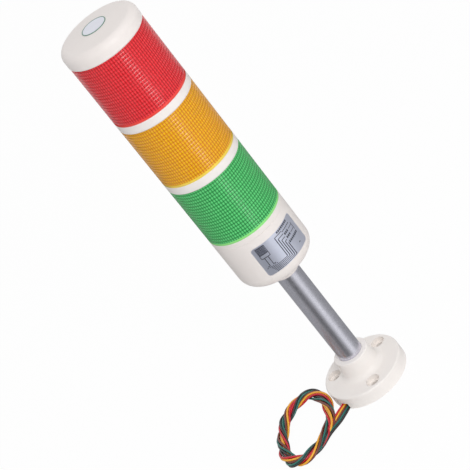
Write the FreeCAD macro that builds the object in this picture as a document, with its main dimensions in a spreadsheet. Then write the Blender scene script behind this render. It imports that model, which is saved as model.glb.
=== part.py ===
import FreeCAD, Part

import math
import os
import re

import Sketcher

# Three-colour stack light on a pole with a round mounting flange.
# Millimetres, +Z up. The origin is the middle of the flange's underside, on the surface it stands on.
# A viewer who faces the rating label looks along +Y, so the front is the -Y side.

SIZES = {
    # Mounting flange: a moulded disc with a tall neck for the pole.
    "flange_diameter": 74.5,
    "rim_height": 13.0,
    "rim_round": 1.5,
    "rim_wall": 3.0,
    "brim_wall": 3.4,
    "brim_rise": 0.6,
    "neck_diameter": 33.0,
    "neck_height": 32.5,
    "neck_draft": 0.8,
    "neck_round": 1.2,
    "neck_fillet": 6.0,
    "socket_depth": 14.5,
    "socket_clearance": 0.2,
    "socket_web": 4.0,
    "nut_clearance": 0.6,
    # Screw holes of the flange, each at the bottom of a round pocket and inside a boss.
    "screw_count": 3,
    "screw_circle": 55.0,
    "screw_hole": 8.0,
    "pocket_diameter": 13.0,
    "pocket_floor": 8.5,
    "pocket_wall": 1.5,
    # Notch in the rim that lets the leads out.
    "notch_width": 8.4,
    "notch_height": 6.4,
    "exit_bearing": 210.6,
    # Pole: an aluminium tube turned down and threaded at both ends.
    "pole_diameter": 22.5,
    "pole_bore": 17.0,
    "pole_length": 129.0,
    "thread_diameter": 20.0,
    "lower_thread": 11.0,
    "upper_thread": 10.0,
    "thread_clearance": 0.2,
    "pole_nut_width": 25.0,
    "pole_nut_height": 5.0,
    "pole_washer_diameter": 27.5,
    "pole_washer_thickness": 1.5,
    # Outer diameter that housing, lenses and tier plates share, and the cap's overhang.
    "tower_diameter": 70.0,
    "cap_overhang": 0.3,
    # Small round on the edges that meet in a seam.
    "edge_break": 0.35,
    # Housing under the lenses.
    "housing_height": 50.8,
    "housing_wall": 2.5,
    "housing_floor": 3.0,
    "housing_round": 11.0,
    "housing_inner_round": 8.0,
    "board_post_diameter": 6.0,
    "board_post_height": 16.0,
    "board_post_edge": 3.0,
    "cover_post_diameter": 6.0,
    "pilot_hole": 2.5,
    "pilot_depth": 9.0,
    # Cover of the housing and the tier plates between the lenses.
    "cover_height": 5.2,
    "plate_height": 7.5,
    "web_thickness": 2.5,
    "spigot_height": 2.0,
    "spigot_wall": 2.0,
    "spigot_clearance": 0.2,
    "post_clearance": 0.3,
    "wire_hole": 12.0,
    "led_post_diameter": 5.0,
    "led_post_height": 3.0,
    "led_post_edge": 1.75,
    # Lenses: ribbed coloured tubes with a plain foot and a plain head.
    "lens_wall": 2.5,
    "lens_height": 59.4,
    "lens_foot": 2.6,
    "lens_head": 0.2,
    "rib_count": 18,
    "rib_depth": 0.6,
    "seal_thickness": 0.6,
    "seal_inset": 0.5,
    # Cap.
    "cap_side": 12.3,
    "cap_crown": 2.3,
    "cap_wall": 2.5,
    "cap_round": 6.5,
    "cap_flat": 22.4,
    "cap_step": 4.0,
    "rod_boss_diameter": 7.0,
    "rod_boss_base": 2.0,
    "rod_boss_top": 10.5,
    "badge_diameter": 20.4,
    "badge_thickness": 0.35,
    "badge_ring_diameter": 22.0,
    "badge_ring_thickness": 0.45,
    # Tie rods that clamp the tiers between the cover and the cap.
    "rod_count": 3,
    "rod_diameter": 3.0,
    "rod_gap": 0.55,
    "rod_clearance": 0.2,
    "rod_grip": 6.0,
    "rod_tail": 1.0,
    "rod_nut_width": 5.5,
    "rod_nut_height": 2.4,
    "rod_washer_diameter": 7.0,
    "rod_washer_thickness": 0.5,
    # Circuit boards and what stands on them.
    "board_thickness": 1.6,
    "board_clearance": 0.5,
    "led_board_hole": 8.0,
    "screw_head_diameter": 5.5,
    "screw_head_height": 2.0,
    "screw_length": 8.0,
    "cover_screw_length": 9.0,
    "screw_passage": 3.2,
    "led_count": 12,
    "led_edge": 3.75,
    "led_side": 5.0,
    "led_height": 1.6,
    "capacitor_diameter": 10.0,
    "capacitor_height": 14.0,
    "capacitor_edge": 3.5,
    "terminal_length": 20.0,
    "terminal_width": 8.0,
    "terminal_height": 10.0,
    "terminal_offset": 12.0,
    "chip_count": 3,
    "chip_length": 5.0,
    "chip_width": 4.0,
    "chip_height": 1.8,
    "chip_pitch": 7.0,
    "chip_offset": 12.0,
    "chip_start": 3.0,
    "harness_diameter": 4.0,
    # Rating label on the housing.
    "label_base": 12.9,
    "label_height": 30.3,
    "label_start": -22.9,
    "label_span": 80.7,
    "label_thickness": 0.15,
    "label_corner": 3.0,
    # Leads.
    "lead_count": 5,
    "lead_diameter": 2.0,
    "bundle_diameter": 5.4,
    "bundle_height": 2.9,
    "bundle_bend": 13.0,
    "coil_width": 12.5,
    "coil_height": 9.6,
    "coil_edge": 3.5,
}

# Centreline of the free tail, from inside the notch to the coil, and of the coil's oval.
# The heights are those of the bundle's middle above the surface that the light stands on.
TAIL_ROUTE = [
    (-27.11, -16.03, 2.9),
    (-40.4, -23.9, 2.9),
    (-52.6, -32.8, 2.9),
    (-66.0, -41.0, 2.9),
]
COIL_OVAL = [
    (-54.0, -31.5),
    (-71.5, -44.0),
    (-91.0, -47.5),
    (-100.5, -31.0),
    (-97.0, -9.0),
    (-87.5, 13.0),
    (-73.5, 27.5),
    (-55.0, 32.0),
    (-44.0, 16.5),
    (-44.5, -8.0),
]

doc = FreeCAD.newDocument("StackLight")
sheet = doc.addObject("Spreadsheet::Sheet", "Sizes")
for row, (name, size) in enumerate(SIZES.items(), start=1):
    sheet.set(f"A{row}", name)
    sheet.set(f"B{row}", str(size))
    sheet.setAlias(f"B{row}", name)
doc.recompute()


# ---------------------------------------------------------------- helpers


def cells(text):
    """An expression in size names, with each name turned into a reference to the sheet."""
    return re.sub(r"\b([a-z]+(?:_[a-z]+)+)\b", r"Sizes.\1", text)


def number(text):
    """What an expression in size names is worth now."""
    worth = sheet.evalExpression(cells(text))
    return float(getattr(worth, "Value", worth))


def origin_feature(body, role):
    return next(feature for feature in body.Origin.OriginFeatures if feature.Role == role)


def new_body(label, level="0", turn="0"):
    """An empty body whose own z = 0 stands at a level of the whole light, turned about +Z."""
    body = doc.addObject("PartDesign::Body", label)
    body.Label = label
    body.AllowCompound = True
    body.setExpression("Placement.Base.z", cells(level))
    body.setExpression("Placement.Rotation.Angle", cells(turn))
    return body


def new_sketch(body, name, role, across="0", up="0", lift="0"):
    """A sketch on one of the body's origin planes, with its own origin moved on that plane."""
    sketch = body.newObject("Sketcher::SketchObject", name)
    sketch.AttachmentSupport = (origin_feature(body, role), "")
    sketch.MapMode = "FlatFace"
    sketch.setExpression("AttachmentOffset.Base.x", cells(across))
    sketch.setExpression("AttachmentOffset.Base.y", cells(up))
    sketch.setExpression("AttachmentOffset.Base.z", cells(lift))
    return sketch


def constrain(sketch, kind, places, text):
    index = sketch.addConstraint(Sketcher.Constraint(kind, *places, number(text)))
    sketch.setExpression(f"Constraints[{index}]", cells(text))


def draw_polygon(sketch, corners):
    """A closed outline whose corners are bound to the sheet."""
    points = [FreeCAD.Vector(number(x), number(y), 0) for x, y in corners]
    first = sketch.GeometryCount
    count = len(points)
    for index, point in enumerate(points):
        sketch.addGeometry(Part.LineSegment(point, points[(index + 1) % count]), False)
    for index in range(count):
        following = first + (index + 1) % count
        sketch.addConstraint(Sketcher.Constraint("Coincident", first + index, 2, following, 1))
    for index, (x, y) in enumerate(corners):
        constrain(sketch, "DistanceX", (-1, 1, first + index, 1), x)
        constrain(sketch, "DistanceY", (-1, 1, first + index, 1), y)


def draw_circle(sketch, diameter, across="0", up="0"):
    centre = FreeCAD.Vector(number(across), number(up), 0)
    axis = FreeCAD.Vector(0, 0, 1)
    index = sketch.addGeometry(Part.Circle(centre, axis, number(diameter) / 2), False)
    constrain(sketch, "DistanceX", (-1, 1, index, 3), across)
    constrain(sketch, "DistanceY", (-1, 1, index, 3), up)
    constrain(sketch, "Diameter", (index,), diameter)


def draw_box(sketch, width, depth):
    """A rectangle centred on the sketch's origin."""
    x = f"({width}) / 2"
    y = f"({depth}) / 2"
    draw_polygon(sketch, [(f"-{x}", f"-{y}"), (x, f"-{y}"), (x, y), (f"-{x}", y)])


def draw_hexagon(sketch, width):
    """A hexagon from its width across flats, with two flats square to the sketch's up axis."""
    reach = f"({width}) / 2 / cos(30)"
    corners = [(f"{reach} * cos({60 * k})", f"{reach} * sin({60 * k})") for k in range(6)]
    draw_polygon(sketch, corners)


def turn(body, name, corners, across="0"):
    """A solid of revolution from an outline in radius and height."""
    sketch = new_sketch(body, name + "_outline", "XZ_Plane", across=across)
    draw_polygon(sketch, corners)
    feature = body.newObject("PartDesign::Revolution", name)
    feature.Profile = sketch
    feature.ReferenceAxis = (sketch, ["V_Axis"])
    feature.Angle = 360
    body.Tip = feature
    return feature


def cut_round(body, name, corners):
    """A groove all round from an outline in radius and height, which has to take material away."""
    before = recomputed(body)
    sketch = new_sketch(body, name + "_outline", "XZ_Plane")
    draw_polygon(sketch, corners)
    feature = body.newObject("PartDesign::Groove", name)
    feature.Profile = sketch
    feature.ReferenceAxis = (sketch, ["V_Axis"])
    feature.Angle = 360
    feature.Refine = False
    body.Tip = feature
    if recomputed(body) >= before:
        raise RuntimeError(f"{name} cuts nothing from {body.Label}")
    return feature


def extrude(body, name, sketch, height):
    feature = body.newObject("PartDesign::Pad", name)
    feature.Profile = sketch
    feature.setExpression("Length", cells(height))
    body.Tip = feature
    return feature


def cut_up(body, name, sketch, height):
    """A pocket that cuts from its sketch upwards, and that has to take material away."""
    before = recomputed(body)
    feature = body.newObject("PartDesign::Pocket", name)
    feature.Profile = sketch
    feature.Reversed = True
    feature.setExpression("Length", cells(height))
    body.Tip = feature
    if recomputed(body) >= before:
        raise RuntimeError(f"{name} cuts nothing from {body.Label}")
    return feature


def recomputed(body):
    doc.recompute()
    return body.Shape.Volume


def repeat_round(body, name, features, count):
    """Copies of features at equal steps about the body's +Z axis."""
    pattern = body.newObject("PartDesign::PolarPattern", name)
    pattern.Originals = features
    pattern.Axis = (origin_feature(body, "Z_Axis"), [""])
    pattern.Angle = 360
    pattern.setExpression("Occurrences", cells(count))
    body.Tip = pattern
    return pattern


def round_edges(body, name, places, radius):
    """A fillet on the full circles at given (radius, height) places of the body."""
    doc.recompute()
    base = body.Tip
    wanted = [(number(r), number(z)) for r, z in places]
    names = []
    for index, edge in enumerate(base.Shape.Edges, start=1):
        if not isinstance(edge.Curve, Part.Circle):
            continue
        centre = edge.Curve.Center
        on_axis = math.hypot(centre.x, centre.y) < 0.01
        for r, z in wanted:
            if on_axis and abs(edge.Curve.Radius - r) < 0.01 and abs(centre.z - z) < 0.01:
                names.append(f"Edge{index}")
    if not names:
        raise RuntimeError(f"{name} finds no edge on {body.Label}")
    fillet = body.newObject("PartDesign::Fillet", name)
    fillet.Base = (base, names)
    fillet.setExpression("Radius", cells(radius))
    body.Tip = fillet
    return fillet


# ---------------------------------------------------------------- levels

POLE_SEAT = "(neck_height - socket_depth)"
SOCKET_WEB_BASE = f"({POLE_SEAT} - socket_web)"
HOUSING_BASE = f"({POLE_SEAT} + pole_length)"
COVER_BASE = f"({HOUSING_BASE} + housing_height)"
GREEN_BASE = f"({COVER_BASE} + cover_height)"
TIER_HEIGHT = "(lens_height + seal_thickness + plate_height)"
LOWER_PLATE_BASE = f"({GREEN_BASE} + lens_height + seal_thickness)"
UPPER_PLATE_BASE = f"({LOWER_PLATE_BASE} + {TIER_HEIGHT})"
AMBER_BASE = f"({LOWER_PLATE_BASE} + plate_height)"
RED_BASE = f"({UPPER_PLATE_BASE} + plate_height)"
CAP_BASE = f"({RED_BASE} + lens_height + seal_thickness)"
CAP_TOP = "(cap_side + cap_crown)"
CONTROL_BOARD_BASE = f"({HOUSING_BASE} + housing_floor + board_post_height)"
CONTROL_BOARD_TOP = f"({CONTROL_BOARD_BASE} + board_thickness)"
COVER_WEB_TOP = f"({COVER_BASE} + web_thickness)"
PLATE_WEB_BASE = "((plate_height - web_thickness) / 2)"
PLATE_WEB_TOP = f"({PLATE_WEB_BASE} + web_thickness)"
PLATE_BORE = "(tower_diameter - 2 * (lens_wall + spigot_clearance + spigot_wall))"
COVER_BORE = "(tower_diameter - 2 * (housing_wall + spigot_clearance + spigot_wall))"
ROD_CIRCLE = f"({PLATE_BORE} - rod_boss_diameter - 2 * rod_gap)"
COVER_POST_CIRCLE = f"({COVER_BORE} - cover_post_diameter - 2 * post_clearance)"
CONTROL_BOARD_DIAMETER = f"({COVER_POST_CIRCLE} - cover_post_diameter - 2 * board_clearance)"
LED_BOARD_DIAMETER = f"({ROD_CIRCLE} - rod_diameter - 2 * board_clearance)"
BOARD_POST_CIRCLE = f"({CONTROL_BOARD_DIAMETER} - 2 * board_post_edge)"
LED_POST_CIRCLE = f"({LED_BOARD_DIAMETER} - led_post_diameter - 2 * led_post_edge)"
LED_CIRCLE = f"({LED_BOARD_DIAMETER} - led_side - 2 * led_edge)"
LED_BOARD_BASES = {
    "green": f"({COVER_WEB_TOP} + led_post_height)",
    "amber": f"({LOWER_PLATE_BASE} + {PLATE_WEB_TOP} + led_post_height)",
    "red": f"({UPPER_PLATE_BASE} + {PLATE_WEB_TOP} + led_post_height)",
}
LENS_BASES = {"green": GREEN_BASE, "amber": AMBER_BASE, "red": RED_BASE}


# ---------------------------------------------------------------- mounting flange


def make_flange():
    """A disc, hollow underneath, with a neck, a socket for the pole and three screw pockets."""
    body = new_body("mounting_flange")
    rim = "flange_diameter / 2"
    rim_inside = f"({rim} - rim_wall)"
    neck = "neck_diameter / 2"
    neck_foot = f"({neck} + neck_draft)"
    brim = "(rim_height + brim_rise)"
    socket = "(pole_diameter / 2 + socket_clearance)"
    passage = "(thread_diameter / 2 + thread_clearance)"
    nut_space = "(pole_nut_width / sqrt(3) + nut_clearance)"
    turn(body, "disc", [
        (rim, "0"),
        (rim, "rim_height"),
        (neck_foot, brim),
        (neck, "neck_height"),
        (socket, "neck_height"),
        (socket, POLE_SEAT),
        (passage, POLE_SEAT),
        (passage, SOCKET_WEB_BASE),
        (nut_space, SOCKET_WEB_BASE),
        (nut_space, f"{brim} - brim_wall"),
        (rim_inside, "rim_height - brim_wall"),
        (rim_inside, "0"),
    ])
    boss_outline = new_sketch(body, "boss_outline", "XY_Plane", up="-screw_circle / 2")
    draw_circle(boss_outline, "pocket_diameter + 2 * pocket_wall")
    boss = extrude(body, "screw_boss", boss_outline, "rim_height")
    repeat_round(body, "screw_bosses", [boss], "screw_count")
    round_edges(body, "neck_fillet", [(neck_foot, brim)], "neck_fillet")
    round_edges(body, "neck_edge", [(neck, "neck_height")], "neck_round")
    round_edges(body, "rim_edge", [(rim, "rim_height")], "rim_round")

    pocket_outline = new_sketch(
        body, "pocket_outline", "XY_Plane", up="-screw_circle / 2", lift="pocket_floor"
    )
    draw_circle(pocket_outline, "pocket_diameter")
    pocket = cut_up(body, "screw_pocket", pocket_outline, "neck_height")
    hole_outline = new_sketch(body, "hole_outline", "XY_Plane", up="-screw_circle / 2")
    draw_circle(hole_outline, "screw_hole")
    hole = cut_up(body, "screw_hole", hole_outline, "neck_height")
    repeat_round(body, "screw_places", [pocket, hole], "screw_count")

    notch_outline = new_sketch(body, "notch_outline", "XY_Plane")
    notch_outline.setExpression("AttachmentOffset.Rotation.Angle", cells("exit_bearing"))
    notch = "notch_width / 2"
    draw_polygon(notch_outline, [
        (f"{rim_inside} - rim_round", f"-{notch}"),
        (f"{rim} + rim_round", f"-{notch}"),
        (f"{rim} + rim_round", notch),
        (f"{rim_inside} - rim_round", notch),
    ])
    cut_up(body, "lead_notch", notch_outline, "notch_height")
    return body


# ---------------------------------------------------------------- pole


def make_pole():
    """A tube between its two shoulders, with a thinner threaded end beyond each."""
    body = new_body("pole", POLE_SEAT)
    outside = "pole_diameter / 2"
    thread = "thread_diameter / 2"
    bore = "pole_bore / 2"
    turn(body, "tube", [
        (bore, "-lower_thread"),
        (thread, "-lower_thread"),
        (thread, "0"),
        (outside, "0"),
        (outside, "pole_length"),
        (thread, "pole_length"),
        (thread, "pole_length + upper_thread"),
        (bore, "pole_length + upper_thread"),
    ])
    return body


def make_pole_nuts():
    """The hexagon nut under the flange's web and the one on the housing's floor."""
    body = new_body("pole_nuts")
    levels = {
        "lower": f"{SOCKET_WEB_BASE} - pole_washer_thickness - pole_nut_height",
        "upper": f"{HOUSING_BASE} + housing_floor + pole_washer_thickness",
    }
    for name, level in levels.items():
        outline = new_sketch(body, f"{name}_outline", "XY_Plane", lift=level)
        draw_hexagon(outline, "pole_nut_width")
        draw_circle(outline, "thread_diameter")
        extrude(body, f"{name}_nut", outline, "pole_nut_height")
    return body


def make_pole_washers():
    """The washer above the lower nut and the one under the upper nut."""
    body = new_body("pole_washers")
    levels = {
        "lower": f"{SOCKET_WEB_BASE} - pole_washer_thickness",
        "upper": f"{HOUSING_BASE} + housing_floor",
    }
    for name, level in levels.items():
        outline = new_sketch(body, f"{name}_outline", "XY_Plane", lift=level)
        draw_circle(outline, "pole_washer_diameter")
        draw_circle(outline, "thread_diameter + 2 * thread_clearance")
        extrude(body, f"{name}_washer", outline, "pole_washer_thickness")
    return body


# ---------------------------------------------------------------- housing


def make_housing():
    """A round cup with a rounded bottom, three posts for the board and three for the cover."""
    body = new_body("base_housing", HOUSING_BASE)
    outside = "tower_diameter / 2"
    inside = "(tower_diameter / 2 - housing_wall)"
    passage = "(thread_diameter / 2 + thread_clearance)"
    turn(body, "cup", [
        (passage, "0"),
        (outside, "0"),
        (outside, "housing_height"),
        (inside, "housing_height"),
        (inside, "housing_floor"),
        (passage, "housing_floor"),
    ])
    round_edges(body, "outer_round", [(outside, "0")], "housing_round")
    round_edges(body, "seam_edge", [(outside, "housing_height")], "edge_break")
    round_edges(body, "inner_round", [(inside, "housing_floor")], "housing_inner_round")

    board_outline = new_sketch(
        body, "board_post_outline", "XY_Plane", up=f"{BOARD_POST_CIRCLE} / 2", lift="housing_floor"
    )
    draw_circle(board_outline, "board_post_diameter")
    board_post = extrude(body, "board_post", board_outline, "board_post_height")
    board_pilot = cut_pilot(
        body, "board_pilot", f"{BOARD_POST_CIRCLE} / 2", "housing_floor + board_post_height"
    )
    repeat_round(body, "board_posts", [board_post, board_pilot], "screw_count")

    cover_outline = new_sketch(
        body, "cover_post_outline", "XY_Plane", up=f"-{COVER_POST_CIRCLE} / 2", lift="housing_floor"
    )
    draw_circle(cover_outline, "cover_post_diameter")
    cover_post = extrude(body, "cover_post", cover_outline, "housing_height - housing_floor")
    cover_pilot = cut_pilot(body, "cover_pilot", f"-{COVER_POST_CIRCLE} / 2", "housing_height")
    repeat_round(body, "cover_posts", [cover_post, cover_pilot], "screw_count")
    return body


def cut_pilot(body, name, up, top):
    """A blind hole for a self-tapping screw, open at a post's top."""
    outline = new_sketch(body, f"{name}_outline", "XY_Plane", up=up, lift=f"{top} - pilot_depth")
    draw_circle(outline, "pilot_hole")
    return cut_up(body, name, outline, "pilot_depth")


def cut_web_holes(body, name, up, diameter, base):
    """A ring of equal round holes through a web, for the tie rods or the cover's screws."""
    outline = new_sketch(body, f"{name}_outline", "XY_Plane", up=up, lift=base)
    draw_circle(outline, diameter)
    hole = cut_up(body, name, outline, "web_thickness")
    repeat_round(body, f"{name}s", [hole], "rod_count" if name == "rod_hole" else "screw_count")


def add_led_posts(body, web_top):
    """Three short posts that carry an LED board above a web."""
    foot = f"{web_top} - web_thickness / 2"
    outline = new_sketch(
        body, "led_post_outline", "XY_Plane", up=f"-{LED_POST_CIRCLE} / 2", lift=foot
    )
    draw_circle(outline, "led_post_diameter")
    post = extrude(body, "led_post", outline, "web_thickness / 2 + led_post_height")
    repeat_round(body, "led_posts", [post], "screw_count")


def make_cover():
    """The lid of the housing: it registers in the housing and carries the lowest lens."""
    body = new_body("housing_cover", COVER_BASE)
    outside = "tower_diameter / 2"
    spigot = "(tower_diameter / 2 - housing_wall - spigot_clearance)"
    inside = "(tower_diameter / 2 - housing_wall - spigot_clearance - spigot_wall)"
    seat = "(tower_diameter / 2 - lens_wall - spigot_clearance)"
    seat_inside = "(tower_diameter / 2 - lens_wall - spigot_clearance - spigot_wall)"
    turn(body, "lid", [
        ("wire_hole / 2", "0"),
        (inside, "0"),
        (inside, "-spigot_height"),
        (spigot, "-spigot_height"),
        (spigot, "0"),
        (outside, "0"),
        (outside, "cover_height"),
        (seat, "cover_height"),
        (seat, "cover_height + spigot_height"),
        (seat_inside, "cover_height + spigot_height"),
        (seat_inside, "web_thickness"),
        ("wire_hole / 2", "web_thickness"),
    ])
    round_edges(body, "seam_edges", [(outside, "0"), (outside, "cover_height")], "edge_break")
    cut_web_holes(body, "rod_hole", f"{ROD_CIRCLE} / 2", "rod_diameter + 2 * rod_clearance", "0")
    cut_web_holes(body, "screw_hole", f"-{COVER_POST_CIRCLE} / 2", "screw_passage", "0")
    add_led_posts(body, "web_thickness")
    return body


def make_tier_plate(label, level):
    """The white ring between two lenses, with a web inside for the LED board above it."""
    body = new_body(label, level)
    outside = "tower_diameter / 2"
    seat = "(tower_diameter / 2 - lens_wall - spigot_clearance)"
    inside = "(tower_diameter / 2 - lens_wall - spigot_clearance - spigot_wall)"
    turn(body, "ring", [
        ("wire_hole / 2", PLATE_WEB_BASE),
        (inside, PLATE_WEB_BASE),
        (inside, "-spigot_height"),
        (seat, "-spigot_height"),
        (seat, "0"),
        (outside, "0"),
        (outside, "plate_height"),
        (seat, "plate_height"),
        (seat, "plate_height + spigot_height"),
        (inside, "plate_height + spigot_height"),
        (inside, PLATE_WEB_TOP),
        ("wire_hole / 2", PLATE_WEB_TOP),
    ])
    round_edges(body, "seam_edges", [(outside, "0"), (outside, "plate_height")], "edge_break")
    cut_web_holes(body, "rod_hole", f"{ROD_CIRCLE} / 2", "rod_diameter + 2 * rod_clearance", PLATE_WEB_BASE)
    add_led_posts(body, PLATE_WEB_TOP)
    return body


# ---------------------------------------------------------------- lenses and seals


def make_lens(label, level):
    """A coloured tube with level ribs between its plain foot and its plain head."""
    body = new_body(label, level)
    outside = "tower_diameter / 2"
    inside = "(tower_diameter / 2 - lens_wall)"
    pitch = "((lens_height - lens_foot - lens_head) / rib_count)"
    turn(body, "tube", [
        (inside, "0"),
        (outside, "0"),
        (outside, "lens_height"),
        (inside, "lens_height"),
    ])
    valley = cut_round(body, "valley", [
        (f"{outside} - rib_depth", f"lens_foot + {pitch} / 2"),
        (f"{outside} + rib_depth", f"lens_foot - {pitch} / 2"),
        (f"{outside} + rib_depth", f"lens_foot + {pitch} * 3 / 2"),
    ])
    valleys = body.newObject("PartDesign::LinearPattern", "valleys")
    valleys.Originals = [valley]
    valleys.Direction = (origin_feature(body, "Z_Axis"), [""])
    valleys.Refine = False
    valleys.setExpression("Length", cells(f"(rib_count - 1) * {pitch}"))
    valleys.setExpression("Occurrences", cells("rib_count"))
    body.Tip = valleys
    return body


def make_seals():
    """The thin rubber ring on top of each lens."""
    body = new_body("lens_seals")
    for colour, level in LENS_BASES.items():
        outline = new_sketch(body, f"{colour}_outline", "XY_Plane", lift=f"{level} + lens_height")
        draw_circle(outline, "tower_diameter - 2 * seal_inset")
        draw_circle(outline, "tower_diameter - 2 * lens_wall")
        extrude(body, f"{colour}_seal", outline, "seal_thickness")
    return body


# ---------------------------------------------------------------- cap


def make_cap():
    """The white cap: a low crown, a well rounded edge and three bosses for the tie rods."""
    body = new_body("top_cap", CAP_BASE)
    outside = "(tower_diameter / 2 + cap_overhang)"
    inside = "(tower_diameter / 2 + cap_overhang - cap_wall)"
    seat = "(tower_diameter / 2 - lens_wall - spigot_clearance)"
    seat_inside = "(tower_diameter / 2 - lens_wall - spigot_clearance - spigot_wall)"
    turn(body, "shell", [
        (seat_inside, "-spigot_height"),
        (seat, "-spigot_height"),
        (seat, "0"),
        (outside, "0"),
        (outside, "cap_side"),
        ("cap_flat / 2", CAP_TOP),
        ("0", CAP_TOP),
        ("0", f"{CAP_TOP} - cap_wall"),
        ("cap_flat / 2", f"{CAP_TOP} - cap_wall"),
        (inside, "cap_side - cap_wall"),
        (inside, "cap_step"),
        (seat_inside, "cap_step"),
    ])
    round_edges(body, "outer_round", [(outside, "cap_side")], "cap_round")
    round_edges(body, "seam_edge", [(outside, "0")], "edge_break")
    round_edges(body, "inner_round", [(inside, "cap_side - cap_wall")], "cap_round - cap_wall")
    outline = new_sketch(body, "boss_outline", "XY_Plane", up=f"{ROD_CIRCLE} / 2", lift="rod_boss_base")
    draw_circle(outline, "rod_boss_diameter")
    boss = extrude(body, "rod_boss", outline, "rod_boss_top - rod_boss_base")
    hole_outline = new_sketch(
        body, "rod_thread_outline", "XY_Plane", up=f"{ROD_CIRCLE} / 2", lift="rod_boss_base"
    )
    draw_circle(hole_outline, "rod_diameter")
    hole = cut_up(body, "rod_thread", hole_outline, "rod_grip")
    repeat_round(body, "rod_bosses", [boss, hole], "rod_count")
    return body


def make_badge_disc():
    """The plain pale disc in the middle of the cap."""
    body = new_body("cap_disc", f"{CAP_BASE} + {CAP_TOP}")
    outline = new_sketch(body, "disc_outline", "XY_Plane")
    draw_circle(outline, "badge_diameter")
    extrude(body, "disc", outline, "badge_thickness")
    return body


def make_badge_ring():
    """The thin green ring round the pale disc."""
    body = new_body("cap_ring", f"{CAP_BASE} + {CAP_TOP}")
    outline = new_sketch(body, "ring_outline", "XY_Plane")
    draw_circle(outline, "badge_ring_diameter")
    draw_circle(outline, "badge_diameter")
    extrude(body, "ring", outline, "badge_ring_thickness")
    return body


# ---------------------------------------------------------------- tie rods and screws


ROD_NUT_BASE = f"({COVER_BASE} - rod_washer_thickness - rod_nut_height)"


def make_tie_rods():
    """Three studs from under the cover's web up into the cap's bosses."""
    base = f"({ROD_NUT_BASE} - rod_tail)"
    top = f"({CAP_BASE} + rod_boss_base + rod_grip)"
    body = new_body("tie_rods", base)
    outline = new_sketch(body, "rod_outline", "XY_Plane", up=f"{ROD_CIRCLE} / 2")
    draw_circle(outline, "rod_diameter")
    rod = extrude(body, "rod", outline, f"{top} - {base}")
    repeat_round(body, "rods", [rod], "rod_count")
    return body


def make_rod_nuts():
    body = new_body("tie_rod_nuts", ROD_NUT_BASE)
    outline = new_sketch(body, "nut_outline", "XY_Plane", up=f"{ROD_CIRCLE} / 2")
    draw_hexagon(outline, "rod_nut_width")
    draw_circle(outline, "rod_diameter")
    nut = extrude(body, "nut", outline, "rod_nut_height")
    repeat_round(body, "nuts", [nut], "rod_count")
    return body


def make_rod_washers():
    body = new_body("tie_rod_washers", f"{COVER_BASE} - rod_washer_thickness")
    outline = new_sketch(body, "washer_outline", "XY_Plane", up=f"{ROD_CIRCLE} / 2")
    draw_circle(outline, "rod_washer_diameter")
    draw_circle(outline, "rod_diameter + 2 * rod_clearance")
    washer = extrude(body, "washer", outline, "rod_washer_thickness")
    repeat_round(body, "washers", [washer], "rod_count")
    return body


def make_screws(label, seat, up, length):
    """Three pan-head self-tapping screws with their heads on a seat."""
    body = new_body(label, seat)
    outline = new_sketch(body, "shank_outline", "XY_Plane", up=up, lift=f"-{length}")
    draw_circle(outline, "pilot_hole")
    shank = extrude(body, "shank", outline, length)
    head_outline = new_sketch(body, "head_outline", "XY_Plane", up=up)
    draw_circle(head_outline, "screw_head_diameter")
    head = extrude(body, "head", head_outline, "screw_head_height")
    repeat_round(body, "screws", [shank, head], "screw_count")
    return body


# ---------------------------------------------------------------- boards


def make_control_board():
    """The round board in the housing, on the three short posts."""
    body = new_body("control_board", CONTROL_BOARD_BASE)
    outline = new_sketch(body, "board_outline", "XY_Plane")
    draw_circle(outline, CONTROL_BOARD_DIAMETER)
    extrude(body, "board", outline, "board_thickness")
    hole_outline = new_sketch(body, "passage_outline", "XY_Plane", up=f"{BOARD_POST_CIRCLE} / 2")
    draw_circle(hole_outline, "screw_passage")
    hole = cut_up(body, "screw_passage", hole_outline, "board_thickness")
    repeat_round(body, "screw_passages", [hole], "screw_count")
    return body


def make_capacitor():
    body = new_body("power_capacitor", CONTROL_BOARD_TOP)
    offset = f"({CONTROL_BOARD_DIAMETER} - capacitor_diameter) / 2 - capacitor_edge"
    outline = new_sketch(body, "can_outline", "XY_Plane", across=offset)
    draw_circle(outline, "capacitor_diameter")
    extrude(body, "can", outline, "capacitor_height")
    return body


def make_terminal_block():
    body = new_body("terminal_block", CONTROL_BOARD_TOP)
    outline = new_sketch(body, "block_outline", "XY_Plane", up="-terminal_offset")
    draw_box(outline, "terminal_length", "terminal_width")
    extrude(body, "block", outline, "terminal_height")
    return body


def make_driver_chips():
    """One driver chip for each colour, in a row on the control board."""
    body = new_body("driver_chips", CONTROL_BOARD_TOP)
    outline = new_sketch(body, "chip_outline", "XY_Plane", across="-chip_offset", up="-chip_start")
    draw_box(outline, "chip_length", "chip_width")
    chip = extrude(body, "chip", outline, "chip_height")
    chips = body.newObject("PartDesign::LinearPattern", "chips")
    chips.Originals = [chip]
    chips.Direction = (origin_feature(body, "Y_Axis"), [""])
    chips.setExpression("Length", cells("(chip_count - 1) * chip_pitch"))
    chips.setExpression("Occurrences", cells("chip_count"))
    body.Tip = chips
    return body


def make_led_board(colour, level):
    """The round board of one tier, with a hole for the wires."""
    body = new_body(f"{colour}_led_board", level)
    outline = new_sketch(body, "board_outline", "XY_Plane")
    draw_circle(outline, LED_BOARD_DIAMETER)
    draw_circle(outline, "led_board_hole")
    extrude(body, "board", outline, "board_thickness")
    return body


def make_leds(colour, level):
    """The ring of square LEDs on one tier's board."""
    body = new_body(f"{colour}_leds", f"{level} + board_thickness")
    outline = new_sketch(body, "led_outline", "XY_Plane", across=f"{LED_CIRCLE} / 2")
    draw_box(outline, "led_side", "led_side")
    led = extrude(body, "led", outline, "led_height")
    repeat_round(body, "leds", [led], "led_count")
    return body


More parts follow.
